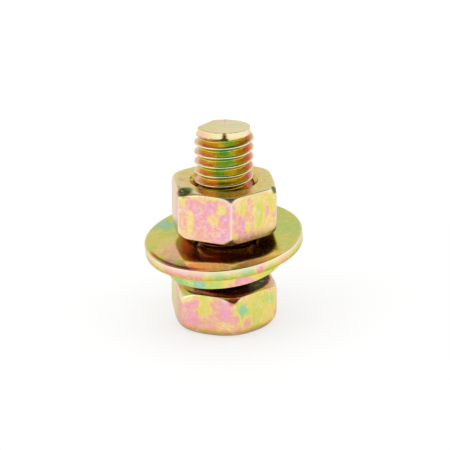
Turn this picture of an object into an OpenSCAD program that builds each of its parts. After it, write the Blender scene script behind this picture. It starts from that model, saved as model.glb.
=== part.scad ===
// Hex bolt standing on its head, with a lock washer, a flat washer and a hex nut on its thread.
// Millimetres. The origin is the middle of the head's standing face, and +Z runs up the bolt's axis.
// A flat of the head faces +X and a corner faces -Y.

/* [Bolt] */
// Width of the bolt head across its flats
head_flats = 10; // [9:0.1:13]
// Height of the bolt head
head_height = 4.45; // [3:0.05:6]
// How far the corners of the bolt head fall short of sharp ones
head_corner_trim = 0.08; // [0.02:0.01:0.3]
// How far the chamfer on the standing face cuts back the head's corners
head_crown_cut = 1.19; // [0.6:0.01:1.6]
// Angle of the chamfer on the standing face, from that face
head_crown_angle = 48; // [20:1:60]
// How far the chamfer on the bearing face cuts back the head's corners
head_bearing_cut = 0.86; // [0.82:0.01:1.4]
// Angle of the chamfer on the bearing face, from that face
head_bearing_angle = 30; // [15:1:50]
// Diameter over the crests of the bolt's thread
thread_d = 5.95; // [4.5:0.05:6.1]
// Length from the bearing face to the end of the thread
thread_length = 16.2; // [14:0.1:40]
// Distance that the thread climbs in one turn
thread_pitch = 1; // [0.85:0.05:1.5]
// Depth of the thread from its crest to its root
thread_depth = 0.6; // [0.3:0.01:0.62]
// Direction that the thread's lowest crest starts from
thread_start_to = 24; // [-180:1:180]
// How far the plain point at the end of the thread lies inside the crests
point_depth = 0.42; // [0.1:0.02:0.8]
// Length of the plain point, up to where the thread swells from it
point_length = 0.5; // [0.1:0.05:2]

/* [Nut] */
// Width of the nut across its flats
nut_flats = 10; // [9:0.1:13]
// Height of the nut
nut_height = 5; // [3:0.05:7]
// How far the corners of the nut fall short of sharp ones
nut_corner_trim = 0.03; // [0.02:0.01:0.3]
// How far the chamfers cut back the nut's corners
nut_corner_cut = 0.4; // [0.3:0.01:1.2]
// Angle of the nut's chamfers, from its end faces
nut_corner_angle = 60; // [20:1:65]
// Width of the countersink round the mouths of the nut's bore
nut_countersink = 0.38; // [0.1:0.01:0.6]
// Gap all round between the bolt's thread and the nut's bore
nut_clearance = 0.1; // [0.05:0.05:0.25]
// Turn of the nut from the head, about the bolt's axis
nut_turn = -0.6; // [-30:0.1:30]
// Height of the nut's lower face above the highest part of the washer under it
nut_gap = 0.2; // [0.2:0.05:4]

/* [Flat washer] */
// Outside diameter of the flat washer
washer_d = 16.1; // [13:0.1:24]
// Thickness of the flat washer
washer_thickness = 1.1; // [0.6:0.05:2]
// Gap all round between the bolt's thread and the flat washer's hole, before it leans
washer_clearance = 0.33; // [0.3:0.01:0.8]
// Height of the flat washer's rim above its middle
washer_dish = 0.2; // [0:0.05:0.6]
// Radius of the rolled upper edge left by the punch
washer_edge_radius = 0.28; // [0.05:0.01:0.5]
// Angle that the flat washer rocks on the lock washer
washer_rock = 2.4; // [0:0.1:3]
// Direction that the flat washer rocks down to
washer_rock_to = -37; // [-180:1:180]
// Gap between the flat washer and the place where it rocks on the lock washer
washer_gap = 0.05; // [0.05:0.01:0.5]

/* [Lock washer] */
// Outside diameter of the lock washer
lock_washer_d = 11.8; // [10:0.1:14]
// Thickness of the lock washer
lock_washer_thickness = 1.6; // [1:0.05:2.5]
// Gap all round between the bolt's thread and the lock washer's hole, before it leans
lock_washer_clearance = 0.25; // [0.24:0.01:0.8]
// Height between the two ends of the sprung coil
lock_washer_rise = 0.5; // [0:0.05:1]
// Width of the split between the two ends
lock_washer_split = 0.9; // [0.4:0.05:2]
// Angle that the split is cut at
lock_washer_split_angle = 25; // [0:1:40]
// Direction that the split faces
lock_washer_split_to = 75; // [-180:1:180]
// Size of the softened edges of the coil's section
lock_washer_edge = 0.2; // [0.05:0.01:0.4]
// Angle that the washers lean at, caught on the thread
stack_lean = 8.7; // [0:0.1:9]
// Direction that the washers lean down to
stack_lean_to = -164; // [-180:1:180]
// Height of the lock washer's lowest edge above the bolt head
stack_gap = 0.7; // [0.6:0.05:4]

/* [Hidden] */
$fn = 96;

// Straight pieces in a rounded edge, in one turn of the lock washer, and in one turn of the thread
arc_steps = 6;
coil_steps = 72;
thread_steps = 36;
// Width of the thread's crest as a share of its pitch, and the angle of its flanks
crest_share = 1 / 8;
flank_angle = 30;
// How far a cutting shape reaches past the surface it cuts
past = 1;

thread_r = thread_d / 2;
nut_bore_r = thread_r + nut_clearance;
washer_bore_r = thread_r + washer_clearance;
lock_washer_bore_r = thread_r + lock_washer_clearance;
lock_washer_r = lock_washer_d / 2;

// Distance from the axis to a sharp corner of a hexagon
function corner_reach(flats) = flats / 2 / cos(30);

// Slope of a plane that leans down to a direction, as its fall along X and Y
function fall(angle, towards) = tan(angle) * [cos(towards), sin(towards)];

// Height of the lock washer: its lowest edge hangs clear of the head
lock_washer_z = head_height + stack_gap + lock_washer_r * sin(stack_lean)
    + lock_washer_thickness / 2 * cos(stack_lean);

// How high the flat washer is held off the coil's middle, by the raised end or by the side it rocks to
rock_from_split = washer_rock_to - lock_washer_split_to;
rock_share = (rock_from_split + 720) % 360 / 360;
rock_reach = (cos(rock_from_split) > 0 ? lock_washer_r : lock_washer_bore_r) * cos(rock_from_split);
raised_end = lock_washer_rise / 2 + sin(washer_rock) * rock_reach;
rocked_side = lock_washer_rise * (0.5 - rock_share) + sin(washer_rock) * lock_washer_r;
washer_seat = lock_washer_thickness / 2 + max(raised_end, rocked_side) + washer_gap;
washer_z = lock_washer_z + (washer_seat + washer_thickness / 2) / cos(stack_lean);

// Height of the nut: clear of the washer's high side
washer_slope = norm(fall(stack_lean, stack_lean_to) + fall(washer_rock, washer_rock_to));
nut_z = washer_z + washer_thickness / 2 + washer_dish + corner_reach(nut_flats) * washer_slope + nut_gap;

// Points of an arc in the plane of a profile
function arc(centre, radius, from, to) =
    [for (i = [0 : arc_steps])
        let (a = from + (to - from) * i / arc_steps)
        centre + radius * [cos(a), sin(a)]];

// Leans a piece that lies round the axis at the origin
module leaning(angle, towards) {
    rotate([0, 0, towards])
        rotate([0, angle, 0])
            rotate([0, 0, -towards])
                children();
}

// Hexagonal block cut from a round blank: corners trimmed, and a cone cut at its lower and upper face.
// Each cone is given as how far it cuts back the corners, and its angle from the face.
module chamfered_hexagon(flats, height, corner_trim, lower_cone, upper_cone) {
    reach = corner_reach(flats);
    blank_r = reach - corner_trim;
    lower_rise = (lower_cone[0] - corner_trim) * tan(lower_cone[1]);
    upper_rise = (upper_cone[0] - corner_trim) * tan(upper_cone[1]);
    intersection() {
        translate([0, 0, -past])
            rotate([0, 0, 30])
                cylinder(h = height + 2 * past, r = reach, $fn = 6);
        rotate_extrude()
            polygon([
                [0, 0],
                [reach - lower_cone[0], 0],
                [blank_r, lower_rise],
                [blank_r, height - upper_rise],
                [reach - upper_cone[0], height],
                [0, height]
            ]);
    }
}

// Rod with a right-hand thread, from the middle of the head to past its own end.
// Each turn has four rows of points, at both edges of the crest and of the root, and each column of
// points stands a little higher than the last one. The last column meets the first a whole turn up.
module threaded_rod() {
    end_z = head_height + thread_length;
    start_z = (head_height - thread_pitch) / 2;
    turns = ceil((end_z - start_z) / thread_pitch) + 1;
    crest = thread_pitch * crest_share;
    flank = thread_depth * tan(flank_angle);
    row_z = [0, crest, crest + flank, thread_pitch - flank];
    row_depth = [0, 0, thread_depth, thread_depth];
    rows = 4 * turns + 1;
    points = [
        for (i = [0 : thread_steps - 1], k = [0 : rows - 1])
            let (
                a = thread_start_to + 360 * i / thread_steps,
                z = start_z + thread_pitch * (i / thread_steps + floor(k / 4)) + row_z[k % 4],
                swell = end_z - point_length - z,
                r = thread_r - (swell < 0 ? point_depth : max(row_depth[k % 4], point_depth - swell))
            )
            [r * cos(a), r * sin(a), z]
    ];
    wall = [
        for (i = [0 : thread_steps - 1])
            let (last = i == thread_steps - 1, next = last ? 4 : (i + 1) * rows)
            for (k = [0 : rows - (last ? 6 : 2)])
                let (a = i * rows + k, b = next + k)
                each [[a, a + 1, b], [a + 1, b + 1, b]]
    ];
    first = [for (i = [0 : thread_steps - 1]) i * rows];
    lower_edge = concat(first, [4, 3, 2, 1]);
    last_column = (thread_steps - 1) * rows;
    upper_edge = concat(
        [for (i = first) i + rows - 1],
        [for (k = [rows - 2 : -1 : rows - 5]) last_column + k]
    );
    foot = len(points);
    tip = foot + 1;
    lower_cap = [
        for (i = [0 : len(lower_edge) - 1])
            [foot, lower_edge[i], lower_edge[(i + 1) % len(lower_edge)]]
    ];
    upper_cap = [
        for (i = [0 : len(upper_edge) - 1])
            [tip, upper_edge[(i + 1) % len(upper_edge)], upper_edge[i]]
    ];
    foot_z = start_z + thread_pitch / 2;
    tip_z = foot_z + turns * thread_pitch;
    intersection() {
        polyhedron(
            concat(points, [[0, 0, foot_z], [0, 0, tip_z]]),
            concat(wall, lower_cap, upper_cap)
        );
        cylinder(h = end_z, r = thread_r + past);
    }
}

module bolt() {
    color([0.86, 0.76, 0.45])
        union() {
            chamfered_hexagon(head_flats, head_height, head_corner_trim,
                [head_crown_cut, head_crown_angle], [head_bearing_cut, head_bearing_angle]);
            threaded_rod();
        }
}

// One turn of a left-hand coil, with a softened square section and ends cut at an angle
module lock_washer() {
    half = lock_washer_thickness / 2;
    soft = lock_washer_edge;
    section = [
        [lock_washer_bore_r, half - soft], [lock_washer_bore_r + soft, half],
        [lock_washer_r - soft, half], [lock_washer_r, half - soft],
        [lock_washer_r, soft - half], [lock_washer_r - soft, -half],
        [lock_washer_bore_r + soft, -half], [lock_washer_bore_r, soft - half]
    ];
    sides = len(section);
    middle_r = (lock_washer_bore_r + lock_washer_r) / 2;
    split_turn = lock_washer_split / middle_r * 180 / PI;
    shear = tan(lock_washer_split_angle) / middle_r * 180 / PI;
    points = [
        for (i = [0 : coil_steps], p = section)
            let (
                share = i / coil_steps,
                turn = lock_washer_split_to + split_turn / 2 + (360 - split_turn) * share + shear * p[1]
            )
            [p[0] * cos(turn), p[0] * sin(turn), p[1] + lock_washer_rise * (0.5 - share)]
    ];
    wall = [
        for (i = [0 : coil_steps - 1], j = [0 : sides - 1])
            let (a = i * sides + j, b = i * sides + (j + 1) % sides)
            each [[a, b, b + sides], [a, b + sides, a + sides]]
    ];
    first_end = [for (j = [sides - 1 : -1 : 0]) j];
    last_end = [for (j = [0 : sides - 1]) coil_steps * sides + j];
    color([0.72, 0.80, 0.58])
        translate([0, 0, lock_washer_z])
            leaning(stack_lean, stack_lean_to)
                polyhedron(points, concat(wall, [first_end, last_end]));
}

// Slightly dished ring, its upper edges rolled over by the punch
module flat_washer() {
    outer_r = washer_d / 2;
    edge = washer_edge_radius;
    top = washer_thickness / 2;
    color([0.84, 0.80, 0.50])
        translate([0, 0, washer_z])
            leaning(stack_lean, stack_lean_to)
                leaning(washer_rock, washer_rock_to)
                    rotate_extrude()
                        polygon(concat(
                            [[washer_bore_r, -top], [outer_r, washer_dish - top]],
                            arc([outer_r - edge, top + washer_dish - edge], edge, 0, 90),
                            arc([washer_bore_r + edge, top - edge], edge, 90, 180)
                        ));
}

module nut() {
    mouth_r = nut_bore_r + nut_countersink;
    cone = [nut_corner_cut, nut_corner_angle];
    color([0.88, 0.66, 0.56])
        translate([0, 0, nut_z])
            rotate([0, 0, nut_turn])
                difference() {
                    chamfered_hexagon(nut_flats, nut_height, nut_corner_trim, cone, cone);
                    rotate_extrude()
                        polygon([
                            [0, -past],
                            [mouth_r + past, -past],
                            [nut_bore_r, nut_countersink],
                            [nut_bore_r, nut_height - nut_countersink],
                            [mouth_r + past, nut_height + past],
                            [0, nut_height + past]
                        ]);
                }
}

bolt();
lock_washer();
flat_washer();
nut();
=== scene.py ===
# %% [markdown]
# # A plated hex bolt with its nut and washers
# The object is a small steel bolt that stands on its head. A nut sits half-way up its thread, and
# under the nut a flat washer and a split lock washer lean together. All four are zinc plated, and a
# yellow chromate bath has left a thin film on the zinc that shows pink, gold and green.
# The lesson models the four pieces with bmesh operators, and then paints the film with shader nodes.
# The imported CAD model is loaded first: every piece takes the place of one of its nodes.

# %% Load the frame
import math

import bmesh
import bpy
from mathutils import Matrix, Vector


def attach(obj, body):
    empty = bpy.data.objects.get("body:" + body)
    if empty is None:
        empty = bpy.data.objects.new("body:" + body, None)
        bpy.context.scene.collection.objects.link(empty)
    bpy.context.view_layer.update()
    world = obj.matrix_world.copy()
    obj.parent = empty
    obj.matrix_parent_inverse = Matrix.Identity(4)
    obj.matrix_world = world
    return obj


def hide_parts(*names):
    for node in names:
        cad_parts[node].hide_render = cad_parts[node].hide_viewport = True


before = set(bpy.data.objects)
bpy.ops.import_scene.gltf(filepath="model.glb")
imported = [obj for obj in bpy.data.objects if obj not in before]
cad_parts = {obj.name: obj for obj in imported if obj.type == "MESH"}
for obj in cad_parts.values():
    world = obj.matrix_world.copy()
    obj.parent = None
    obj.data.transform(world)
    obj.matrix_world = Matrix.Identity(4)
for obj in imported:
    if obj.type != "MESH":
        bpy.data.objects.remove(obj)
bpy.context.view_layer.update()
scene = bpy.context.scene
scene.view_settings.view_transform = "Standard"
MM = 0.001
print("CAD nodes:", sorted(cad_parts))

# %% [markdown]
# ## Camera
# The photograph was taken with a long lens from a little above, so the hexagons hardly taper.
# A camera object looks down its own -Z axis. Turning the vector from the aim point to the camera
# into a rotation with `to_track_quat` is simpler than working out three angles by hand.

# %% Camera
CAMERA_TURN = math.radians(-7.9)
CAMERA_RISE = math.radians(21.3)
CAMERA_DISTANCE = 255
AIM_RIGHT, AIM_HEIGHT = 0.119, 10.252

camera_right = Vector((math.cos(CAMERA_TURN), math.sin(CAMERA_TURN), 0))
camera_back = Vector((math.sin(CAMERA_TURN) * math.cos(CAMERA_RISE),
                      -math.cos(CAMERA_TURN) * math.cos(CAMERA_RISE),
                      math.sin(CAMERA_RISE)))
aim = camera_right * AIM_RIGHT + Vector((0, 0, AIM_HEIGHT))
camera_data = bpy.data.cameras.new("bench_camera")
camera_data.lens = 201.3
camera_data.sensor_width = 36
camera_data.clip_start = 0.01
camera = bpy.data.objects.new("bench_camera", camera_data)
camera.location = (aim + camera_back * CAMERA_DISTANCE) * MM
camera.rotation_euler = camera_back.to_track_quat("Z", "Y").to_euler()
scene.collection.objects.link(camera)
scene.camera = camera


def seen_at(right, away, up):
    """A place given as the camera sees it, in millimetres to the right, away and up."""
    back = Vector((-math.sin(CAMERA_TURN), math.cos(CAMERA_TURN), 0))
    return camera_right * right + back * away + Vector((0, 0, up))


print("camera at", [round(c, 4) for c in camera.location])

# %% [markdown]
# ## Node helpers
# Every material below is a small graph of nodes. A few helpers keep the graphs readable: they add a
# node with its options and inputs, a Math node or a Map Range node, and they turn a colour as read on
# a screen into one that shaders use.

# %% Node helpers
def add_node(tree, kind, inputs=None, **options):
    """Adds a node; inputs maps a socket to a plain value, or to another node's output."""
    node = tree.nodes.new(kind)
    for name, value in options.items():
        setattr(node, name, value)
    for socket, value in (inputs or {}).items():
        if isinstance(value, bpy.types.NodeSocket):
            tree.links.new(value, node.inputs[socket])
        else:
            node.inputs[socket].default_value = value
    return node


def calc(tree, operation, *values, clamp=False):
    """Adds a Math node and returns its output."""
    node = add_node(tree, "ShaderNodeMath", dict(enumerate(values)), operation=operation,
                    use_clamp=clamp)
    return node.outputs[0]


def remap(tree, value, low, high, to_low=0.0, to_high=1.0, soft=False):
    """Adds a Map Range node, with a straight or a soft ramp, and returns its output."""
    return add_node(tree, "ShaderNodeMapRange", {
        "Value": value, "From Min": low, "From Max": high, "To Min": to_low, "To Max": to_high},
        interpolation_type="SMOOTHSTEP" if soft else "LINEAR").outputs[0]


def film_rgb(red, green, blue):
    """Turns a colour as read on a screen, 0 to 255, into the linear colour that shaders use."""
    parts = [c / 255 for c in (red, green, blue)]
    return [c / 12.92 if c <= 0.04045 else ((c + 0.055) / 1.055) ** 2.4 for c in parts] + [1]


print("node helpers ready")

# %% [markdown]
# ## Studio
# Polished metal has no colour of its own to speak of: it shows what is around it. In the photograph
# the table and the backdrop are white, and the ceiling and the room behind the camera are dim, so
# flat sides are bright and the chamfers, which face up and forward, are dark. The world is plain white
# for the camera and for the floor's light. For glossy rays it is white low down and at the back, and
# falls off above: sooner towards the camera than away from it. The far ceiling is the lighter part.

# %% World
BACKDROP_TOP, CEILING = 0.54, 0.72
CEILING_LIGHT, FAR_CEILING_LIGHT, WALL_LIGHT = 0.07, 0.3, 0.8
ROOM_SHIFT = 0.22

world = bpy.data.worlds.new("studio_world")
scene.world = world
world.use_nodes = True
tree = world.node_tree
tree.nodes.clear()
ray = add_node(tree, "ShaderNodeLightPath")
direction = add_node(tree, "ShaderNodeTexCoord").outputs["Generated"]
up = add_node(tree, "ShaderNodeSeparateXYZ", {0: direction}).outputs["Z"]
forward = add_node(tree, "ShaderNodeVectorMath", {0: direction, 1: seen_at(0, -1, 0)},
                   operation="DOT_PRODUCT").outputs["Value"]
room = remap(tree, forward, -0.3, 0.4, 0.0, ROOM_SHIFT, soft=True)
overhead = remap(tree, forward, -0.4, 0.1, FAR_CEILING_LIGHT, CEILING_LIGHT)
ceiling = remap(tree, calc(tree, "ADD", up, room), BACKDROP_TOP, CEILING, 1.0, overhead, soft=True)
walls = remap(tree, up, 0.0, 0.5, 1.0, WALL_LIGHT, soft=True)
studio = add_node(tree, "ShaderNodeBackground", {
    "Color": (1, 1, 1, 1), "Strength": calc(tree, "MULTIPLY", ceiling, walls)})
white = add_node(tree, "ShaderNodeBackground", {"Color": (1, 1, 1, 1), "Strength": 1.0})
mix = add_node(tree, "ShaderNodeMixShader", {
    0: ray.outputs["Is Glossy Ray"], 1: white.outputs[0], 2: studio.outputs[0]})
add_node(tree, "ShaderNodeOutputWorld", {0: mix.outputs[0]})
print("world made, ceiling light", CEILING_LIGHT)

# %% [markdown]
# The floor is a wide white sheet. For the camera and for reflections most of its white is a plain
# glow of strength 1, and the rest is lit, so the soft shadow under the head stays faint.

# %% Floor
FLOOR_SIZE = 3.0
LIT_SHARE = 0.4

floor_mesh = bpy.data.meshes.new("paper_floor")
bm = bmesh.new()
bmesh.ops.create_grid(bm, x_segments=1, y_segments=1, size=FLOOR_SIZE)
bm.to_mesh(floor_mesh)
bm.free()
floor = bpy.data.objects.new("paper_floor", floor_mesh)
scene.collection.objects.link(floor)
paper = bpy.data.materials.new("white_paper")
paper.use_nodes = True
tree = paper.node_tree
tree.nodes.clear()
ray = add_node(tree, "ShaderNodeLightPath")
seen = calc(tree, "MAXIMUM", ray.outputs["Is Camera Ray"], ray.outputs["Is Glossy Ray"])
seen = calc(tree, "MAXIMUM", seen, ray.outputs["Is Transmission Ray"])
glow = add_node(tree, "ShaderNodeEmission", {"Color": (1, 1, 1, 1), "Strength": 1.0})
lit = add_node(tree, "ShaderNodeBsdfDiffuse", {"Color": (0.97, 0.97, 0.97, 1)})
share = calc(tree, "MULTIPLY", seen, 1 - LIT_SHARE)
mix = add_node(tree, "ShaderNodeMixShader", {0: share, 1: lit.outputs[0], 2: glow.outputs[0]})
add_node(tree, "ShaderNodeOutputMaterial", {0: mix.outputs[0]})
floor_mesh.materials.append(paper)
print("floor", FLOOR_SIZE, "m half width")

# %% [markdown]
# Two wide soft lamps stand beside the bolt. They are large for their distance, so that their
# reflections are broad pale areas and the shadow has no edge.

# %% Lamps
def soft_lamp(name, turn, rise, distance, size, power):
    """Adds a square area lamp that looks at the nut, with the angles measured as the camera's are."""
    lamp_data = bpy.data.lights.new(name, "AREA")
    lamp_data.shape = "SQUARE"
    lamp_data.size = size
    lamp_data.energy = power
    lamp = bpy.data.objects.new(name, lamp_data)
    turn, rise = math.radians(turn), math.radians(rise)
    back = Vector((math.sin(turn) * math.cos(rise), -math.cos(turn) * math.cos(rise),
                   math.sin(rise)))
    lamp.location = aim * MM + back * distance
    lamp.rotation_euler = back.to_track_quat("Z", "Y").to_euler()
    scene.collection.objects.link(lamp)


soft_lamp("window_left", -70, 34, 0.45, 0.36, 0.36)
soft_lamp("window_right", 70, 30, 0.50, 0.36, 0.16)

# %% [markdown]
# ## Turned profiles
# Everything here is round or was cut from something round, so most shapes start as a line of points
# in the XZ plane, given as radius and height in millimetres. `bmesh.ops.spin` turns that line about
# the Z axis. A full spin is closed with `use_merge`, and points on the axis, which the spin repeats,
# are joined with `remove_doubles`.

# %% Turned profiles
# The first layer holds rubbed plating together with painted highlight, the second holds painted shade
# in gaps, hollows and under parts, the third the film's shift.
WEAR_AND_HIGHLIGHT, SHADE_LAYER, SHIFT = "worn_edge_and_highlight", "painted_shade", "film_shift"


def new_shape():
    """An empty bmesh that notes on each vertex how pale with rubbing and painted highlight, how dark
    with painted shade and how thickly filmed it is.
    """
    bm = bmesh.new()
    for layer in (WEAR_AND_HIGHLIGHT, SHADE_LAYER, SHIFT):
        bm.verts.layers.float.new(layer)
    return bm


def notes_on(bm):
    """The layers of a shape that hold its rubbing with painted highlight, its painted shade and its
    film's shift.
    """
    return [bm.verts.layers.float[layer] for layer in (WEAR_AND_HIGHLIGHT, SHADE_LAYER, SHIFT)]


def along(start, end, steps):
    """Points from start towards end, without the end itself."""
    a, b = Vector(start), Vector(end)
    return [tuple(a.lerp(b, i / steps)) for i in range(steps)]


def arc(centre, radius, start, end, steps):
    """Points on an arc, from one angle to another in degrees."""
    angles = [math.radians(start + (end - start) * i / steps) for i in range(steps + 1)]
    return [(centre[0] + radius * math.cos(a), centre[1] + radius * math.sin(a)) for a in angles]


def chain(bm, points, closed=False):
    """Joins (radius, height) points into a line of edges in the XZ plane."""
    verts = [bm.verts.new((r, 0, z)) for r, z in points]
    following = verts[1:] + verts[:1] if closed else verts[1:]
    return verts + [bm.edges.new(pair) for pair in zip(verts, following)]


def turn_full(bm, profile, steps):
    """Spins a profile right round the Z axis."""
    bmesh.ops.spin(bm, geom=profile, cent=(0, 0, 0), axis=(0, 0, 1), angle=math.tau, steps=steps,
                   use_merge=True)
    bmesh.ops.remove_doubles(bm, verts=bm.verts, dist=1e-5)


def turn_shape(bm, degrees):
    """Turns a whole shape about the Z axis."""
    bmesh.ops.rotate(bm, cent=(0, 0, 0), matrix=Matrix.Rotation(math.radians(degrees), 3, "Z"),
                     verts=bm.verts)


def pour_into(bm, other):
    """Moves all of another shape into this one."""
    mesh = bpy.data.meshes.new("poured")
    other.to_mesh(mesh)
    other.free()
    bm.from_mesh(mesh)
    bpy.data.meshes.remove(mesh)


def smooth_step(low, high, value):
    """0 below low, 1 above high, and a soft ramp between them."""
    share = min(1, max(0, (value - low) / (high - low)))
    return share * share * (3 - 2 * share)


def finish_piece(bm, name, sharp_angle=40):
    """Turns a bmesh in millimetres into an object in metres, with outward smooth faces."""
    bmesh.ops.remove_doubles(bm, verts=bm.verts, dist=1e-5)
    bmesh.ops.recalc_face_normals(bm, faces=bm.faces)
    bmesh.ops.scale(bm, vec=(MM, MM, MM), verts=bm.verts)
    loose = sum(1 for e in bm.edges if len(e.link_faces) != 2)
    mesh = bpy.data.meshes.new(name)
    bm.to_mesh(mesh)
    bm.free()
    mesh.polygons.foreach_set("use_smooth", [True] * len(mesh.polygons))
    mesh.set_sharp_from_angle(angle=math.radians(sharp_angle))
    piece = bpy.data.objects.new(name, mesh)
    scene.collection.objects.link(piece)
    mesh.calc_loop_triangles()
    print(name, "has", len(mesh.loop_triangles), "triangles and", loose, "open edges")
    return piece


print("profile helpers ready")

# %% [markdown]
# ## Hexagons
# A bolt head is a turned blank that a die has pressed to six flats, and a nut is much the same. The
# shape could be cut out with Boolean modifiers, but their edges are razor sharp. Here the spun blank
# really is pressed: each vertex is drawn towards the middle of the block until it lies inside every
# flat, end face and chamfer cone. A power mean of those limits, in place of a plain maximum, leaves
# soft edges, and how much it exceeds the maximum tells how near a vertex is to an edge.

# %% Hexagons
BLANK_STEPS = 432
EDGE_BAND = 1.6
# How far left a side starts to get a pale painted highlight, and where it is palest
FAR_LEFT_HIGHLIGHT = -4.3, -5.1


def hexagon_reach(flats):
    """Distance from the axis to a sharp corner."""
    return flats / 2 / math.cos(math.radians(30))


def blank_profile(flats, height, lower_inner, upper_inner):
    """Profile of a round blank from its lower to its upper face, close-set where the edges will be."""
    reach = hexagon_reach(flats)
    inside = flats / 2 - 0.7
    return (along((lower_inner, 0), (inside, 0), 5) + along((inside, 0), (reach, 0), 16)
            + along((reach, 0), (reach, EDGE_BAND), 22)
            + along((reach, EDGE_BAND), (reach, height - EDGE_BAND), 8)
            + along((reach, height - EDGE_BAND), (reach, height), 22)
            + along((reach, height), (inside, height), 16)
            + along((inside, height), (upper_inner, height), 5) + [(upper_inner, height)])


def press_hexagon(bm, flats, height, corners, lower, upper, bruises=()):
    """Presses a blank between six flats, two ends and cones; high powers give sharp edges.

    lower and upper each hold a power, and cones as a radius on the end face, an angle from it, and
    how far their middle lies towards the flat at -60 degrees.
    A bruise is a flat facet on the upper edge: its direction in degrees, then as a cone.
    """
    wear_and_highlight = bm.verts.layers.float[WEAR_AND_HIGHLIGHT]
    half = height / 2
    sides = [(math.cos(a), math.sin(a)) for a in (k * math.tau / 6 for k in range(6))]
    for v in bm.verts:
        x, y, z = v.co.x, v.co.y, v.co.z - half
        if z > half + 1e-4:
            continue
        flat = [max(0, (x * cx + y * cy) / (flats / 2)) for cx, cy in sides]
        limits = [sum(f ** corners for f in flat) ** (1 / corners), abs(z) / half]
        for facing, (edge, *cones) in ((-1, lower), (1, upper)):
            for cone_r, angle, off in cones:
                lean, rise = math.sin(math.radians(angle)), math.cos(math.radians(angle))
                from_axis = math.hypot(x - off * sides[5][0], y - off * sides[5][1])
                reached = lean * from_axis + rise * facing * z
                limits.append(max(0, reached / (lean * cone_r + rise * half)))
        for turn, bruise_r, angle in bruises:
            lean, rise = math.sin(math.radians(angle)), math.cos(math.radians(angle))
            outward = x * math.cos(math.radians(turn)) + y * math.sin(math.radians(turn))
            limits.append(max(0, (lean * outward + rise * z) / (lean * bruise_r + rise * half)))
        power = lower[0] + (upper[0] - lower[0]) * smooth_step(0.25, 0.75, v.co.z / height)
        pressed = sum(f ** power for f in limits) ** (1 / power)
        on_edge = (pressed / max(limits) - 1) / (2 ** (1 / power) - 1)
        on_corner = (limits[0] / max(max(flat), 1e-6) - 1) / (2 ** (1 / corners) - 1)
        # Nearness to an edge becomes a pale edge: partly rubbed plating, partly painted highlight
        v[wear_and_highlight] = min(1, max(on_edge, on_corner * smooth_step(0.97, 0.99, limits[0] / pressed)))
        if pressed > 1:
            v.co = Vector((x / pressed, y / pressed, z / pressed + half))


print("hexagon tools ready")

# %% [markdown]
# ## Bolt head
# The head stands on its crown, the end with the wide round chamfer, and that edge is the softest.
# The bearing face is on top, and a small fillet joins it to the shank. Painted shade darkens that face
# under the washers, and a band along the crown. Two corners of that face are bruised flat, and the one
# towards the camera gets painted shade. The head is turned a few degrees, as the photograph has it.

# %% Bolt head
HEAD_FLATS, HEAD_HEIGHT = 10, 4.45
HEAD_TURN = 3.0
HEAD_CROWN, HEAD_BEARING = (4.82, 48, 0), (4.97, 30, 0.6)
SHANK_R = 2.67
JOIN_Z = HEAD_HEIGHT + 0.25
HEAD_BRUISES = ((-98, 5.12, 49), (-150, 5.15, 53))
# Strengths of the painted shade and of the pale wear and painted highlight, from 0 to 1
CROWN_SHADE, BRUISE_SHADE = 0.72, 0.6
CROWN_WEAR, CORNER_HIGHLIGHT, HEAD_SIDE_HIGHLIGHT = 0.35, 0.7, 0.5

bolt_bm = new_shape()
profile = blank_profile(HEAD_FLATS, HEAD_HEIGHT, 0, SHANK_R + 0.55)
fillet = arc((SHANK_R + 0.30, JOIN_Z), 0.25, 270, 180, 6)
turn_full(bolt_bm, chain(bolt_bm, profile + fillet), BLANK_STEPS)
press_hexagon(bolt_bm, HEAD_FLATS, HEAD_HEIGHT, 34, (26, HEAD_CROWN), (60, HEAD_BEARING),
              HEAD_BRUISES)
turn_shape(bolt_bm, HEAD_TURN)
wear_and_highlight, shade_mark, shift = notes_on(bolt_bm)
bruise_at, bright_corner = seen_at(0.95, -5.35, 4.2), seen_at(-3.9, -3.5, 4.3)
lit_side = seen_at(-0.7, -0.72, 0)
# Painted shade on the bearing face except an outer strip on one side, on the bruise towards the camera
# and along the crown; painted highlight on the far left, at one bright corner and along the upper edges
for v in bolt_bm.verts:
    radius = max(0.01, math.hypot(v.co.x, v.co.y))
    shade_from = 4.85 - 0.6 * smooth_step(0.5, 0.95, v.co.dot(lit_side) / radius)
    inside = smooth_step(shade_from, shade_from - 0.3, radius)
    bearing = inside * smooth_step(HEAD_HEIGHT - 0.1, HEAD_HEIGHT - 0.05, v.co.z)
    bruise_shade = BRUISE_SHADE * smooth_step(0.75, 0.3, (v.co - bruise_at).length)
    crown = smooth_step(1.0, 0.3, v.co.z)
    v[shade_mark] = max(bearing, bruise_shade, CROWN_SHADE * crown)
    right = v.co.dot(camera_right)
    v[shift] = -0.2 * crown * smooth_step(2.0, -0.5, right)
    far_left_highlight = HEAD_SIDE_HIGHLIGHT * smooth_step(*FAR_LEFT_HIGHLIGHT, right)
    rubbed_and_highlit = v[wear_and_highlight] * (1 - bruise_shade) * smooth_step(HEAD_HEIGHT - 1.2, HEAD_HEIGHT - 0.7, v.co.z)
    v[wear_and_highlight] = max(rubbed_and_highlit, far_left_highlight, CROWN_WEAR * crown,
                  CORNER_HIGHLIGHT * smooth_step(1.4, 0.5, (v.co - bright_corner).length))
print("head pressed,", len(bolt_bm.verts), "vertices")

# %% [markdown]
# ## Bolt thread
# A thread is one profile, from crest to crest, that climbs one pitch for each turn. `bmesh.ops.spin`
# does this when `dvec` lifts it a little at each step. One turn is spun and then copied upwards, a
# pitch at a time, which is much quicker than a long spin. The turns touch, so merging doubles makes
# them one skin. Afterwards the thread runs out above the head and is turned down to a cone at the
# point, and `bisect_plane` cuts off what stands out past both ends.

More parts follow.
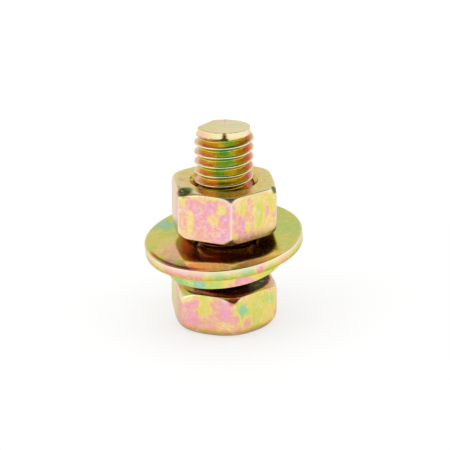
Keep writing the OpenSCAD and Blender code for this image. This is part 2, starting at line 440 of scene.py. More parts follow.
# %% Bolt thread
PITCH = 1.0
CREST_Z = 0.722
THREAD_STEPS = 96
THREAD_END, END_SLOPE = 20.83, 0.062
POINT_R, POINT_LENGTH = 2.62, 0.66
CHORD_R = 2.12
NICK_DEPTH = 0.16
NUT_Z, NUT_HEIGHT = 10.164, 5.0
NUT_TOP = NUT_Z + NUT_HEIGHT
# Shares of pale wear and painted highlight on the crests and left side, and of painted shade under the
# nut and just above it
CREST_WEAR_AND_HIGHLIGHT, THREAD_SIDE_HIGHLIGHT = 0.75, 0.55
HIDDEN_SHADE, MOUTH_SHADE = 0.8, 0.45


def coil_thread(bm, half_profile, start, turns):
    """Spins half a thread profile and its mirror image, (radius, share of pitch), up the Z axis."""
    other_half = [(r, 1 - z) for r, z in reversed(half_profile[:-1])]
    points = [(r, start + z * PITCH) for r, z in half_profile + other_half]
    bmesh.ops.spin(bm, geom=chain(bm, points), cent=(0, 0, 0), axis=(0, 0, 1), angle=math.tau,
                   steps=THREAD_STEPS, dvec=(0, 0, PITCH / THREAD_STEPS))
    first_turn = bm.verts[:] + bm.edges[:] + bm.faces[:]
    for turn in range(1, turns):
        copy = bmesh.ops.duplicate(bm, geom=first_turn)["geom"]
        verts = [v for v in copy if isinstance(v, bmesh.types.BMVert)]
        bmesh.ops.translate(bm, vec=(0, 0, turn * PITCH), verts=verts)
    bmesh.ops.remove_doubles(bm, verts=bm.verts, dist=1e-4)


def cut_level(bm, height, keep_below, facing=Vector((0, 0, 1))):
    """Cuts a shape at a height, level or along a sloping plane, and returns the edges along the cut."""
    middle = Vector((0, 0, height))
    geom = bm.verts[:] + bm.edges[:] + bm.faces[:]
    bmesh.ops.bisect_plane(bm, geom=geom, dist=1e-6, plane_co=middle, plane_no=facing,
                           clear_outer=keep_below, clear_inner=not keep_below)
    return [e for e in bm.edges if len(e.link_faces) == 1
            and all(abs((v.co - middle).dot(facing)) < 1e-4 for v in e.verts)]


thread_bm = new_shape()
crest_to_root = [(2.975, 0.0), (2.972, 0.04), (2.95, 0.077), (2.78, 0.175), (2.61, 0.273),
                 (2.45, 0.366), (2.395, 0.41), (2.367, 0.455), (2.36, 0.5)]
coil_thread(thread_bm, crest_to_root, CREST_Z + 2, 19)
wear_and_highlight, shade_mark, shift = notes_on(thread_bm)
end_facing = seen_at(0, END_SLOPE, 1).normalized()
chord_facing = seen_at(-0.87, 0.5, 0)
nick_at = seen_at(0.05, -2.62, 20.62)
# Three places on the end rim that get painted shade
dark_rim = seen_at(1.6, 2.1, 20.7), seen_at(-2.2, -1.4, 20.85), seen_at(-1.6, -2.0, 20.85)
for v in thread_bm.verts:
    radius = math.hypot(v.co.x, v.co.y)
    from_end = end_facing.z * THREAD_END - v.co.dot(end_facing)
    right = v.co.dot(camera_right)
    # Pale crests out of the nut, rubbed plating with painted highlight, and a painted highlight down
    # the left side
    open_air = max(smooth_step(NUT_Z, NUT_Z + 1, v.co.z), smooth_step(-0.6, -1.4, right))
    crest = CREST_WEAR_AND_HIGHLIGHT * smooth_step(2.93, 2.975, radius) * open_air
    v[wear_and_highlight] = max(crest, THREAD_SIDE_HIGHLIGHT * smooth_step(-2.3, -2.65, right))
    # Painted shade in the grooves, more on the right; on the shank hidden under the nut; and on the
    # thread just above the nut
    groove = 0.3 - 0.1 * smooth_step(-0.9, -0.3, right) + 0.22 * smooth_step(0.9, 1.6, right)
    groove *= smooth_step(2.93, 2.8, radius)
    groove *= smooth_step(2.8, 2.4, abs(right))
    v[shade_mark] = max(groove, HIDDEN_SHADE * smooth_step(NUT_Z + 0.6, NUT_Z - 0.1, v.co.z),
                   MOUTH_SHADE * smooth_step(NUT_TOP + 0.7, NUT_TOP + 0.1, v.co.z))
    banded = 0.1 + 0.2 * smooth_step(-0.3, -1.3, right)
    up_flank = smooth_step(2.5, 2.85, radius) - 0.5
    v[shift] = banded * up_flank - 0.3 * smooth_step(2.88, 2.95, radius)
    below_point = from_end - POINT_LENGTH
    plain = POINT_R + 0.05 * from_end + 1.2 * max(0, below_point)
    shaped = SHANK_R + (radius - SHANK_R) * smooth_step(JOIN_Z + 0.2, JOIN_Z + 1.3, v.co.z)
    shaped += max(0, plain - shaped) * smooth_step(0.2, -0.05, below_point)
    shaped = min(shaped, plain)
    v.co.x *= shaped / radius
    v.co.y *= shaped / radius
    past_chord = max(0, v.co.dot(chord_facing) - CHORD_R) * smooth_step(0.7, 0.3, from_end)
    # The nick is a dent in the mesh, and painted shade darkens it
    nicked = smooth_step(0.42, 0.1, (v.co - nick_at).length)
    v.co += nicked * NICK_DEPTH * seen_at(0, 1, 0) - past_chord * chord_facing
    v[shade_mark] = max(v[shade_mark] * smooth_step(0.5, 0.8, from_end), nicked)
    # Painted highlight on the point's cone, weaker towards the left
    tip = (0.45 + 0.5 * smooth_step(-1.6, -0.4, right)) * smooth_step(0.8, 0.5, from_end)
    v[wear_and_highlight] = max(v[wear_and_highlight] * smooth_step(0.4, 1.0, from_end), tip * (1 - nicked))
    v[shift] *= smooth_step(0.5, 0.8, from_end)
print("thread has", len(thread_bm.verts), "vertices")

# %% [markdown]
# The two ends of the thread are closed: the point gets a flat end face with a soft rim, and the foot
# is joined to the head's fillet by a flat ring of triangles, which the washers hide.

# %% Join the bolt
END_BEVEL, END_BORDER, RIM_DROP = 0.07, 0.03, 0.05
cut_level(thread_bm, JOIN_Z, keep_below=False)
rim = cut_level(thread_bm, THREAD_END, keep_below=True, facing=end_facing)
end_face = bmesh.ops.contextual_create(thread_bm, geom=rim)["faces"]
bevel = bmesh.ops.inset_region(thread_bm, faces=end_face, thickness=END_BEVEL, depth=0)["faces"]
rim_verts = {v for f in bevel for v in f.verts} - {v for f in end_face for v in f.verts}
bmesh.ops.inset_region(thread_bm, faces=end_face, thickness=END_BORDER, depth=0)
bmesh.ops.poke(thread_bm, faces=end_face)
# The rim gets a little pale painted highlight, and painted shade near those three places
for v in rim_verts:
    v.co.z -= RIM_DROP
    v[wear_and_highlight] = 0.3
    v[shade_mark] = 0.8 * max(smooth_step(0.6, 0.2, (v.co - place).length) for place in dark_rim)
pour_into(bolt_bm, thread_bm)
ring = [e for e in bolt_bm.edges if len(e.link_faces) == 1]
bmesh.ops.triangle_fill(bolt_bm, edges=ring, use_beauty=True, normal=(0, 0, 1))
bolt = finish_piece(bolt_bm, "plated_bolt")

# %% [markdown]
# ## Nut
# The nut is pressed like the head, with crisper edges, and has an inside thread. That thread is the
# bolt's own profile, a little wider and with its crests cut back, so that the bolt's point passes
# through it. Its mouths are opened to 45 degree cones.

# %% Nut
NUT_FLATS, NUT_TURN = 10, -0.6
NUT_CONE = (5.36, 56, 0)
NUT_BRUISES = ((-150, 4.55, 23), (-30, 5.3, 40))
# Each spot of painted shade on a bruised top corner: its place and how far it reaches
NUT_SHADE_SPOTS = ((Vector((-4.3, -2.5, NUT_HEIGHT - 0.15)), 1.15),
             (Vector((4.75, -2.75, NUT_HEIGHT - 0.3)), 0.6))
NUT_SPOT_SHADE, NUT_UNDER_SHADE, NUT_SIDE_HIGHLIGHT = 0.85, 0.45, 0.75
MOUTH_R = 3.455

nut_bm = new_shape()
profile = blank_profile(NUT_FLATS, NUT_HEIGHT, MOUTH_R + 0.05, MOUTH_R + 0.05)
turn_full(nut_bm, chain(nut_bm, profile), BLANK_STEPS)
press_hexagon(nut_bm, NUT_FLATS, NUT_HEIGHT, 85, (70, NUT_CONE), (58, NUT_CONE), NUT_BRUISES)
wear_and_highlight, shade_mark, shift = notes_on(nut_bm)
for v in nut_bm.verts:
    # Painted shade under the nut and on the bruised top corners, where the film is also shifted;
    # painted highlight on the far left and pale edges
    under = smooth_step(0.06, 0.02, v.co.z) * smooth_step(4.9, 4.1, math.hypot(v.co.x, v.co.y))
    bruise_shade = max(NUT_SPOT_SHADE * smooth_step(reach, reach / 2, (v.co - spot).length)
                  for spot, reach in NUT_SHADE_SPOTS)
    near_top = smooth_step(NUT_HEIGHT - 0.7, NUT_HEIGHT - 0.5, v.co.z)
    v[shade_mark] = max(NUT_UNDER_SHADE * under, bruise_shade * near_top)
    v[shift] = -0.3 * bruise_shade
    far_left_highlight = NUT_SIDE_HIGHLIGHT * smooth_step(*FAR_LEFT_HIGHLIGHT, v.co.dot(camera_right))
    v[wear_and_highlight] = (1 - bruise_shade) * max(v[wear_and_highlight] ** 0.7, far_left_highlight)
turn_shape(nut_bm, NUT_TURN)
bmesh.ops.translate(nut_bm, vec=(0, 0, NUT_Z), verts=nut_bm.verts)

tap_bm = new_shape()
root_to_crest = [(3.115, 0.0), (3.11, 0.04), (3.09, 0.077), (2.92, 0.175), (2.77, 0.262),
                 (2.73, 0.29), (2.72, 0.33), (2.72, 0.5)]
coil_thread(tap_bm, root_to_crest, CREST_Z + 8, 9)
_, shade_mark, _ = notes_on(tap_bm)
burr_shade_at = seen_at(-3.31, 0.66, NUT_TOP)
for v in tap_bm.verts:
    radius = math.hypot(v.co.x, v.co.y)
    from_end = min(v.co.z - NUT_Z, NUT_TOP - v.co.z)
    # Painted shade inside the bore, deeper away from its mouths, and a spot of painted shade at a burr
    # on the top mouth
    inside = 0.2 + 0.5 * smooth_step(0.3, 0.7, from_end)
    v[shade_mark] = max(inside, smooth_step(0.6, 0.2, (v.co - burr_shade_at).length))
    opened = max(radius, MOUTH_R - max(0, from_end))
    v.co.x *= opened / radius
    v.co.y *= opened / radius
cut_level(tap_bm, NUT_Z, keep_below=False)
cut_level(tap_bm, NUT_TOP, keep_below=True)
pour_into(nut_bm, tap_bm)
for level in (NUT_Z, NUT_TOP):
    ring = [e for e in nut_bm.edges if len(e.link_faces) == 1
            and all(abs(v.co.z - level) < 1e-3 for v in e.verts)]
    bmesh.ops.triangle_fill(nut_bm, edges=ring, use_beauty=True, normal=(0, 0, 1))
nut = finish_piece(nut_bm, "plated_nut")

# %% [markdown]
# ## Flat washer
# A punch cut this ring out of sheet steel, which rolls its upper edges over and dishes it slightly.
# This one is also bent: its inside is raised towards the left front, where a line of painted shade lies
# along the rim. Painted shade also darkens the bore and the underside, and a painted highlight lies
# along the top of the rim. It is spun level, then leaned: first with the pair of washers, then on the
# lock washer.

# %% Flat washer
WASHER_BORE_R, WASHER_R = 3.305, 8.05
WASHER_TOP, WASHER_DISH, WASHER_EDGE, WASHER_BURR = 0.55, 0.2, 0.09, 0.12
WASHER_ROLL, ROLL_FROM = 0.38, 5.1
WASHER_Z = 8.451
STACK_LEAN, STACK_LEAN_TO = 8.7, -164
WASHER_ROCK, WASHER_ROCK_TO = 2.4, -37
WASHER_STEPS = 240
BORE_SHADE, LINE_SHADE, RIM_SHADE = 0.9, 0.8, 0.3
TOP_INSET = WASHER_EDGE + 0.08


def leaning(angle, towards):
    """A turn that leans a level piece down towards a direction, in degrees."""
    about = Matrix.Rotation(math.radians(towards), 3, "Z")
    return about @ Matrix.Rotation(math.radians(angle), 3, "Y") @ about.inverted()


def dished(radius):
    """Height of the dish at a radius: level at the bore, and rising towards the rim."""
    share = (radius - WASHER_BORE_R) / (WASHER_R - WASHER_BORE_R)
    return WASHER_DISH * min(1, max(0, share)) ** 1.6


washer_bm = new_shape()
under = along((WASHER_BORE_R + WASHER_BURR, -WASHER_TOP), (WASHER_R - WASHER_BURR, -WASHER_TOP), 14)
outer = (arc((WASHER_R - WASHER_BURR, WASHER_BURR - WASHER_TOP), WASHER_BURR, 270, 360, 4)
         + arc((WASHER_R - WASHER_EDGE, WASHER_TOP - WASHER_EDGE), WASHER_EDGE, 0, 90, 8))
over = along((WASHER_R - TOP_INSET, WASHER_TOP), (WASHER_BORE_R + TOP_INSET, WASHER_TOP), 28)
inner = (arc((WASHER_BORE_R + WASHER_EDGE, WASHER_TOP - WASHER_EDGE), WASHER_EDGE, 90, 180, 8)
         + arc((WASHER_BORE_R + WASHER_BURR, WASHER_BURR - WASHER_TOP), WASHER_BURR, 180, 270, 4)[:-1])
points = [(r, z + dished(r)) for r, z in under + outer + over + inner]
turn_full(washer_bm, chain(washer_bm, points, closed=True), WASHER_STEPS)
wear_and_highlight, shade_mark, _ = notes_on(washer_bm)
roll_to, shade_line_at = seen_at(-0.8, -0.6, 0), seen_at(-0.68, -0.73, 0)
for v in washer_bm.verts:
    radius = math.hypot(v.co.x, v.co.y)
    below_top = WASHER_TOP + dished(radius) - v.co.z
    on_top = smooth_step(0.2, 0.1, below_top)
    shade_line = smooth_step(7.45, 7.65, radius) * smooth_step(7.92, 7.8, radius) * on_top
    shade_line *= smooth_step(0.82, 0.96, v.co.dot(shade_line_at) / radius)
    # Painted shade in the bore, along a line on the rim and below the top; painted highlight along the
    # top of the rim
    v[shade_mark] = max(BORE_SHADE * smooth_step(4.1, 3.6, radius), LINE_SHADE * shade_line,
                   RIM_SHADE * (1 - on_top))
    v[wear_and_highlight] = smooth_step(WASHER_R - 0.2, WASHER_R - 0.08, radius) * on_top
    rolled = max(0, radius - ROLL_FROM) / (WASHER_R - ROLL_FROM)
    v.co.z += WASHER_ROLL * (1 - rolled ** 2) * smooth_step(-0.2, 0.7, v.co.dot(roll_to) / radius)
stack = leaning(STACK_LEAN, STACK_LEAN_TO)
bmesh.ops.rotate(washer_bm, cent=(0, 0, 0), verts=washer_bm.verts,
                 matrix=stack @ leaning(WASHER_ROCK, WASHER_ROCK_TO))
bmesh.ops.translate(washer_bm, vec=(0, 0, WASHER_Z), verts=washer_bm.verts)
flat_washer = finish_piece(washer_bm, "plated_flat_washer")

# %% [markdown]
# ## Lock washer
# The lock washer is one turn of square wire, wound left-handed so that its ends bite against a nut
# that tries to loosen. Its section is slanted first, so that the spin leaves a split cut at an angle.

# %% Lock washer
LOCK_BORE_R, LOCK_R, LOCK_HALF = 3.225, 5.9, 0.8
LOCK_Z, LOCK_RISE, LOCK_EDGE = 6.833, 0.5, 0.2
SPLIT, SPLIT_ANGLE, SPLIT_TO = 0.9, 25, 75
LOCK_STEPS = 200

lock_bm = new_shape()
section = []
for corner_r, corner_z, start in ((LOCK_R - LOCK_EDGE, LOCK_HALF - LOCK_EDGE, 0),
                                  (LOCK_BORE_R + LOCK_EDGE, LOCK_HALF - LOCK_EDGE, 90),
                                  (LOCK_BORE_R + LOCK_EDGE, LOCK_EDGE - LOCK_HALF, 180),
                                  (LOCK_R - LOCK_EDGE, LOCK_EDGE - LOCK_HALF, 270)):
    section += arc((corner_r, corner_z), LOCK_EDGE, start, start + 90, 5)
middle_r = (LOCK_BORE_R + LOCK_R) / 2
split_turn = SPLIT / middle_r
first_end = chain(lock_bm, section, closed=True)
for v in lock_bm.verts:
    slant = math.tan(math.radians(SPLIT_ANGLE)) * v.co.z / middle_r
    turn = math.radians(SPLIT_TO) + split_turn / 2 + slant
    v.co = Matrix.Rotation(turn, 3, "Z") @ (v.co + Vector((0, 0, LOCK_RISE / 2)))
spun = bmesh.ops.spin(lock_bm, geom=first_end, cent=(0, 0, 0), axis=(0, 0, 1),
                      angle=math.tau - split_turn, steps=LOCK_STEPS,
                      dvec=(0, 0, -LOCK_RISE / LOCK_STEPS))
for end in (first_end, spun["geom_last"]):
    bmesh.ops.contextual_create(lock_bm, geom=[e for e in end if isinstance(e, bmesh.types.BMEdge)])
bmesh.ops.rotate(lock_bm, cent=(0, 0, 0), matrix=stack, verts=lock_bm.verts)
bmesh.ops.translate(lock_bm, vec=(0, 0, LOCK_Z), verts=lock_bm.verts)
lock_washer = finish_piece(lock_bm, "plated_lock_washer")

# %% [markdown]
# ## Chromate film
# The colours come from a film thinner than a hair's hundredth: where it thickens, the colour moves
# from teal through green, yellow and orange to pink. One number, the tone, stands for the thickness.
# A group makes the tone from large blotches, upright streaks and fine speckle, and a second group
# turns the tone into a colour. Groups are built once and used in all four materials. Where a shape
# holds a thicker or thinner film, its vertices shift the tone.

# %% Film groups
def new_group(name, inputs, outputs):
    """Makes an empty shader node group; inputs and outputs map a name to a socket kind."""
    group = bpy.data.node_groups.new(name, "ShaderNodeTree")
    for side, sockets in (("INPUT", inputs), ("OUTPUT", outputs)):
        for socket, kind in sockets.items():
            group.interface.new_socket(socket, in_out=side, socket_type="NodeSocket" + kind)
    given = group.nodes.new("NodeGroupInput").outputs
    return group, given, group.nodes.new("NodeGroupOutput").inputs


def noise_node(tree, vector, per_mm, detail=3.0, distortion=0.0):
    """Noise with about so many features to the millimetre."""
    return add_node(tree, "ShaderNodeTexNoise", {
        "Vector": vector, "Scale": per_mm / MM, "Detail": detail, "Roughness": 0.55,
        "Distortion": distortion}).outputs["Fac"]


SPECKLE = 0.22
film_tone, given, out = new_group(
    "film_tone", {"Vector": "Vector", "Start": "Float", "Blotch": "Float", "Streak": "Float"},
    {"Tone": "Float"})
tree = film_tone
blotch = noise_node(tree, given["Vector"], 0.42, 2.5, 0.5)
upright = add_node(tree, "ShaderNodeMapping", {"Vector": given["Vector"], "Scale": (1, 1, 0.28)})
streak = noise_node(tree, upright.outputs[0], 1.15, 3.0, 0.3)
speckle = noise_node(tree, given["Vector"], 4.5, 2.0)
tone = given["Start"]
for noise, amount in ((blotch, given["Blotch"]), (streak, given["Streak"]), (speckle, SPECKLE)):
    tone = calc(tree, "MULTIPLY_ADD", calc(tree, "SUBTRACT", noise, 0.5), amount, tone)
tree.links.new(tone, out["Tone"])

FILM = ((0.00, (206, 208, 196)), (0.09, (168, 208, 196)), (0.18, (158, 210, 142)),
        (0.29, (198, 216, 114)), (0.40, (224, 214, 102)), (0.51, (240, 217, 120)),
        (0.61, (243, 198, 140)), (0.71, (242, 174, 158)), (0.82, (243, 164, 186)),
        (1.00, (216, 180, 208)))
film_colour, given, out = new_group("film_colour", {"Tone": "Float"}, {"Color": "Color"})
ramp = add_node(film_colour, "ShaderNodeValToRGB", {0: given["Tone"]})
elements = ramp.color_ramp.elements
while len(elements) < len(FILM):
    elements.new(0.5)
for element, (place, colour) in zip(elements, FILM):
    element.position = place
    element.color = film_rgb(*colour)
film_colour.links.new(ramp.outputs["Color"], out["Color"])
print("film colours:", len(FILM))

# %% [markdown]
# A third group gives a soft patch round a chosen place, with a ragged edge, so that a patch of
# another tone can be put where the photograph shows one. A fourth makes the handling marks: short
# bright scratches, more of them on a scuff, small dark pits, fine grain and a pale haze.

# %% Patch and wear groups
film_patch, given, out = new_group(
    "film_patch", {"Vector": "Vector", "Place": "Vector", "Size": "Vector"}, {"Mask": "Float"})
tree = film_patch
offset = add_node(tree, "ShaderNodeVectorMath", {0: given["Vector"], 1: given["Place"]},
                  operation="SUBTRACT").outputs[0]
scaled = add_node(tree, "ShaderNodeVectorMath", {0: offset, 1: given["Size"]},
                  operation="DIVIDE").outputs[0]
away = add_node(tree, "ShaderNodeVectorMath", {0: scaled}, operation="LENGTH").outputs["Value"]
upright = add_node(tree, "ShaderNodeMapping", {"Vector": given["Vector"], "Scale": (1, 1, 0.5)})
for per_mm, ragged in ((0.9, 1.7), (3.2, 0.8)):
    edge = calc(tree, "SUBTRACT", noise_node(tree, upright.outputs[0], per_mm, 2.0, 0.3), 0.5)
    away = calc(tree, "MULTIPLY_ADD", edge, ragged, away)
tree.links.new(remap(tree, away, 1.35, 0.3, soft=True), out["Mask"])

film_wear, given, out = new_group(
    "film_wear", {"Vector": "Vector", "Amount": "Float", "Scuff": "Float"},
    {"Scratch": "Float", "Pit": "Float", "Grain": "Float", "Haze": "Float"})
tree = film_wear
turned = add_node(tree, "ShaderNodeMapping", {
    "Vector": given["Vector"], "Rotation": (0.5, 0.9, 0.3), "Scale": (0.35, 1, 2.2)})
lines = noise_node(tree, turned.outputs[0], 2.6, 2.0, 0.6)
thin = calc(tree, "ABSOLUTE", calc(tree, "SUBTRACT", lines, 0.5))
line = remap(tree, thin, 0.018, 0.004)
where = remap(tree, noise_node(tree, given["Vector"], 0.75, 2.0), 0.56, 0.66)
scuffed = calc(tree, "MULTIPLY_ADD", where, given["Amount"], given["Scuff"], clamp=True)
tree.links.new(calc(tree, "MULTIPLY", line, scuffed), out["Scratch"])
cells = add_node(tree, "ShaderNodeTexVoronoi", {"Vector": given["Vector"], "Scale": 1.1 / MM})
pit = remap(tree, cells.outputs["Distance"], 0.10, 0.05)
rare = add_node(tree, "ShaderNodeSeparateColor", {0: cells.outputs["Color"]})
rare = calc(tree, "GREATER_THAN", rare.outputs[0], 0.8)
tree.links.new(calc(tree, "MULTIPLY", pit, rare), out["Pit"])
tree.links.new(noise_node(tree, given["Vector"], 7.0, 3.0), out["Grain"])
tree.links.new(noise_node(tree, given["Vector"], 2.2, 4.0, 0.4), out["Haze"])
print("groups:", [g.name for g in bpy.data.node_groups])

# %% [markdown]
# ## Plated materials
# Each piece has its own material, because film, polish and wear differ from piece to piece. The
# helper joins the groups: tone, patches, colour and haze, then painted shade, which deepens the colour
# and darkens it, then pale metal on rubbed edges, which also carries painted highlight, bright
# scratches and dark pits. The Principled shader itself stays here, as a metal.

# %% Plated materials
# Pale metal for the haze, for rubbed edges and for painted highlight
PALE_AND_HIGHLIGHT = film_rgb(250, 238, 205)
SCRATCHED = film_rgb(250, 244, 228)
PITTED = film_rgb(70, 58, 34)
# Dark colour that painted shade blends towards
SHADE_RGB = film_rgb(46, 30, 14)
EDGE_TINT = (0.82, 0.80, 0.72, 1)
SHADE_DEPTH, PIT_DEPTH, DULL_SPREAD = 2.5, 0.7, 0.05


def group_node(tree, group, inputs):
    """Places a node group in a tree and returns its outputs."""
    return add_node(tree, "ShaderNodeGroup", inputs, node_tree=group).outputs


def blend_colour(tree, share, under, over):
    """Lays one colour over another by a share."""
    return add_node(tree, "ShaderNodeMix", {0: share, 6: under, 7: over},
                    data_type="RGBA").outputs[2]


def patch_mask(tree, place, right, away, up, across, tall):
    """A soft ragged patch round a place that is given as the camera sees it, in millimetres."""
    return group_node(tree, film_patch, {
        "Vector": place, "Place": seen_at(right, away, up) * MM,
        "Size": Vector((across, across, tall)) * MM})["Mask"]


def plated(name, start, blotch, streak, patches, scuffs, roughness, wear_highlight_amount, scratch_amount,
           haze):
    """Makes a plated metal; a patch is a place, its width and height in mm, a tone and a strength."""
    material = bpy.data.materials.new(name)
    material.use_nodes = True
    tree = material.node_tree
    tree.nodes.clear()
    place = add_node(tree, "ShaderNodeTexCoord").outputs["Object"]
    tone = group_node(tree, film_tone, {
        "Vector": place, "Start": start, "Blotch": blotch, "Streak": streak})["Tone"]
    for *spot, patch_tone, strength in patches:
        share = calc(tree, "MULTIPLY", patch_mask(tree, place, *spot), strength)
        shift = calc(tree, "SUBTRACT", patch_tone, tone)
        tone = calc(tree, "MULTIPLY_ADD", shift, share, tone)
    thicker = add_node(tree, "ShaderNodeAttribute", attribute_name=SHIFT).outputs["Fac"]
    colour = group_node(tree, film_colour, {"Tone": calc(tree, "ADD", tone, thicker)})["Color"]
    scuffed = calc(tree, "ADD", *[patch_mask(tree, place, *scuff) for scuff in scuffs])
    marks = group_node(tree, film_wear, {"Vector": place, "Amount": scratch_amount, "Scuff": scuffed})
    hazy = remap(tree, marks["Haze"], 0.45, 0.75, 0.0, haze)
    colour = blend_colour(tree, hazy, colour, PALE_AND_HIGHLIGHT)
    # Painted shade: deepens and darkens the film where the shade layer is high
    shade_share = add_node(tree, "ShaderNodeAttribute", attribute_name=SHADE_LAYER).outputs["Fac"]
    deep = calc(tree, "MULTIPLY_ADD", shade_share, SHADE_DEPTH, 1.0)
    colour = add_node(tree, "ShaderNodeGamma", {"Color": colour, "Gamma": deep}).outputs[0]
    colour = blend_colour(tree, calc(tree, "MULTIPLY", shade_share, shade_share), colour, SHADE_RGB)
    # Pale metal where the wear layer is high: rubbed plating and painted highlight
    rubbed_and_highlit = add_node(tree, "ShaderNodeAttribute", attribute_name=WEAR_AND_HIGHLIGHT).outputs["Fac"]
    rubbed_and_highlit = calc(tree, "MULTIPLY", rubbed_and_highlit, wear_highlight_amount, clamp=True)
    colour = blend_colour(tree, rubbed_and_highlit, colour, PALE_AND_HIGHLIGHT)
    colour = blend_colour(tree, marks["Scratch"], colour, SCRATCHED)
    colour = blend_colour(tree, calc(tree, "MULTIPLY", marks["Pit"], PIT_DEPTH), colour, PITTED)
    dull = remap(tree, marks["Grain"], 0.3, 0.7, roughness - DULL_SPREAD, roughness + DULL_SPREAD)
    height = calc(tree, "MULTIPLY_ADD", marks["Scratch"], -0.4, marks["Grain"])
    bump = add_node(tree, "ShaderNodeBump", {
        "Height": height, "Strength": 0.12, "Distance": 0.02 * MM})
    shader = add_node(tree, "ShaderNodeBsdfPrincipled", {
        "Base Color": colour, "Roughness": dull, "Normal": bump.outputs[0], "Metallic": 1.0,
        "Specular Tint": EDGE_TINT})
    add_node(tree, "ShaderNodeOutputMaterial", {0: shader.outputs[0]})
    print(name, "has", len(patches), "patches and", len(tree.nodes), "nodes")
    return material


# Each patch: right, away and up in mm, width and height in mm, tone, strength
BOLT_PATCHES = (
    (3.3, -3.7, 2.2, 2.7, 3.2, 0.38, 1.0),
    (-4.02, -3.75, 3.95, 1.3, 0.8, 0.33, 0.9),
    (-2.09, -4.55, 4.04, 1.0, 0.6, 0.30, 0.8),
    (-2.20, -4.50, 2.95, 1.0, 0.95, 0.40, 1.0),
    (0.10, -5.48, 3.1, 0.8, 1.3, 0.85, 0.9),
    (0.22, -5.39, 1.35, 0.9, 0.6, 0.52, 0.7),
    (1.85, -4.95, 3.2, 1.0, 1.0, 0.24, 0.9),
    (1.95, -4.85, 3.1, 0.75, 0.6, 0.10, 0.75),
    (2.34, -4.46, 1.37, 0.6, 0.75, 0.72, 1.0),
    (4.48, -2.85, 1.99, 0.8, 0.9, 0.53, 0.8),
    (4.68, -2.69, 3.36, 0.7, 0.8, 0.24, 0.8),
    (-5.4, 0.6, 2.2, 2.8, 5.0, 0.33, 0.6),
    (-1.8, -1.9, 17, 1.3, 9, 0.62, 1.0),
    (0.3, -2.6, 17, 1.6, 9, 0.48, 1.0),
    (0.6, -2.55, 19.9, 0.9, 0.55, 0.25, 1.0),
    (0.1, -2.6, 18.75, 1.2, 0.55, 0.25, 1.0),
    (0.6, -2.55, 17.75, 1.3, 0.55, 0.25, 1.0),
    (-0.5, -2.5, 16.6, 1.0, 0.55, 0.27, 1.0),
    (1.9, -2.1, 17, 0.8, 9, 0.45, 0.8),
    (2.85, -0.6, 17, 0.8, 9, 0.78, 0.9),
    (0, 0, 21.0, 4.5, 1.2, 0.46, 1.0),
    (0.97, 0.35, 20.8, 0.9, 0.5, 0.10, 0.6),
    (-0.1, 2.4, 20.7, 1.3, 0.5, 0.76, 0.9),
    (-2.0, -1.7, 20.4, 0.9, 0.45, 0.76, 0.9))
NUT_PATCHES = (
    (4.0, -3.2, 12.6, 1.9, 3.4, 0.50, 0.8),
    (-4.06, -3.72, 14.1, 0.5, 0.9, 0.48, 0.9),
    (-3.37, -4.01, 12.0, 0.45, 1.4, 0.49, 0.9),
    (-0.18, -5.35, 13.82, 0.65, 0.7, 0.47, 1.0),
    (-1.07, -4.97, 12.72, 0.8, 0.6, 0.54, 0.9),
    (0.02, -5.43, 13.0, 0.4, 0.5, 0.97, 0.8),
    (1.70, -4.99, 13.9, 0.7, 1.0, 0.30, 0.75),
    (4.71, -2.69, 13.4, 0.8, 2.2, 0.42, 0.9),
    (3.51, -3.61, 13.1, 0.7, 2.0, 0.30, 0.7),
    (2.41, -4.45, 11.8, 0.4, 0.9, 0.44, 0.9),
    (1.71, -4.99, 12.2, 0.5, 0.9, 0.88, 0.9),
    (4.31, -3.00, 12.9, 0.4, 0.9, 0.72, 0.9),
    (1.11, -5.44, 11.0, 0.5, 0.5, 0.44, 0.9),
    (0, 0, 15.5, 9.0, 0.85, 0.42, 1.0))
FLAT_WASHER_PATCHES = (
    (-5.94, 3.21, 8.9, 1.5, 1.0, 0.10, 0.9),
    (-4.5, -2.8, 8.5, 2.6, 1.2, 0.68, 0.95),
    (6.9, 0.5, 9.9, 2.2, 1.2, 0.27, 0.8),
    (-1.5, -5.0, 8.6, 2.4, 1.2, 0.70, 0.95),
    (3.0, -5.5, 8.9, 2.4, 1.0, 0.58, 0.9),
    (-2.4, -7.0, 8.4, 2.0, 0.8, 0.48, 1.0),
    (-5.2, -6.1, 7.8, 1.6, 0.7, 0.76, 1.0),
    (-3.2, -7.4, 8.0, 1.8, 0.7, 0.78, 1.0),
    (-0.67, -8.02, 8.08, 1.0, 0.6, 0.20, 1.0),
    (2.39, -7.69, 8.43, 0.9, 0.6, 0.17, 1.0),
    (3.68, -7.16, 8.48, 0.7, 0.6, 0.80, 1.0),
    (6.09, -5.25, 8.88, 1.0, 0.6, 0.63, 0.9),
    (-7.4, -3.2, 7.8, 1.6, 0.9, 0.66, 0.7))
LOCK_WASHER_PATCHES = (
    (-4.61, -3.51, 5.78, 1.4, 1.2, 0.17, 0.9),
    (-2.58, -5.21, 5.9, 1.1, 0.9, 0.08, 0.9),
    (-1.0, -5.71, 5.83, 0.9, 0.9, 0.27, 0.9),
    (0.1, -5.85, 5.89, 0.7, 0.9, 0.46, 0.9),
    (1.9, -5.55, 6.24, 1.5, 1.0, 0.78, 1.0))
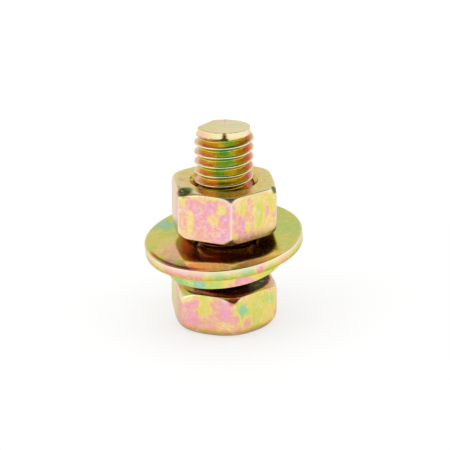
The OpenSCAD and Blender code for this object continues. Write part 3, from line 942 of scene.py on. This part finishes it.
# Each scuff: right, away and up in mm, width and height in mm
BOLT_SCUFFS = (-3.73, -3.84, 2.45, 0.7, 1.0), (0.2, -5.4, 1.35, 0.9, 0.7)
NUT_SCUFFS = (-4.0, -3.7, 12.95, 0.7, 0.6), (-1.0, -5.0, 11.6, 0.9, 0.9)
FLAT_WASHER_SCUFFS = (0.8, -8.0, 8.3, 0.9, 0.6), (0.9, -6.3, 8.9, 1.2, 0.6)
LOCK_WASHER_SCUFFS = (2.4, -5.4, 6.0, 1.2, 0.6), (-3.4, -4.8, 6.0, 0.8, 0.6)
bolt_film = plated(
    "bolt_film", start=0.72, blotch=0.45, streak=0.25, patches=BOLT_PATCHES, scuffs=BOLT_SCUFFS,
    roughness=0.24, wear_highlight_amount=0.75, scratch_amount=0.8, haze=0.35)
nut_film = plated(
    "nut_film", start=0.77, blotch=0.45, streak=0.55, patches=NUT_PATCHES, scuffs=NUT_SCUFFS,
    roughness=0.24, wear_highlight_amount=0.85, scratch_amount=0.9, haze=0.55)
flat_washer_film = plated(
    "flat_washer_film", start=0.38, blotch=0.35, streak=0.0, patches=FLAT_WASHER_PATCHES,
    scuffs=FLAT_WASHER_SCUFFS, roughness=0.13, wear_highlight_amount=0.7, scratch_amount=0.5, haze=0.3)
lock_washer_film = plated(
    "lock_washer_film", start=0.36, blotch=0.5, streak=0.0, patches=LOCK_WASHER_PATCHES,
    scuffs=LOCK_WASHER_SCUFFS, roughness=0.22, wear_highlight_amount=0.6, scratch_amount=0.5, haze=0.3)

# %% [markdown]
# ## Put the pieces in place
# Each piece takes the place of its CAD node, rides on that node's body, and gets its plated
# material. The washers turn with the nut, which also climbs.

# %% Put the pieces in place
for piece, body, node, finish in (
        (bolt, "bolt", "bolt", bolt_film),
        (lock_washer, "washers", "lock_washer", lock_washer_film),
        (flat_washer, "washers", "flat_washer", flat_washer_film),
        (nut, "nut", "nut", nut_film)):
    piece.data.materials.append(finish)
    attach(piece, body)
    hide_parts(node)
    print(piece.name, "rides on", body)
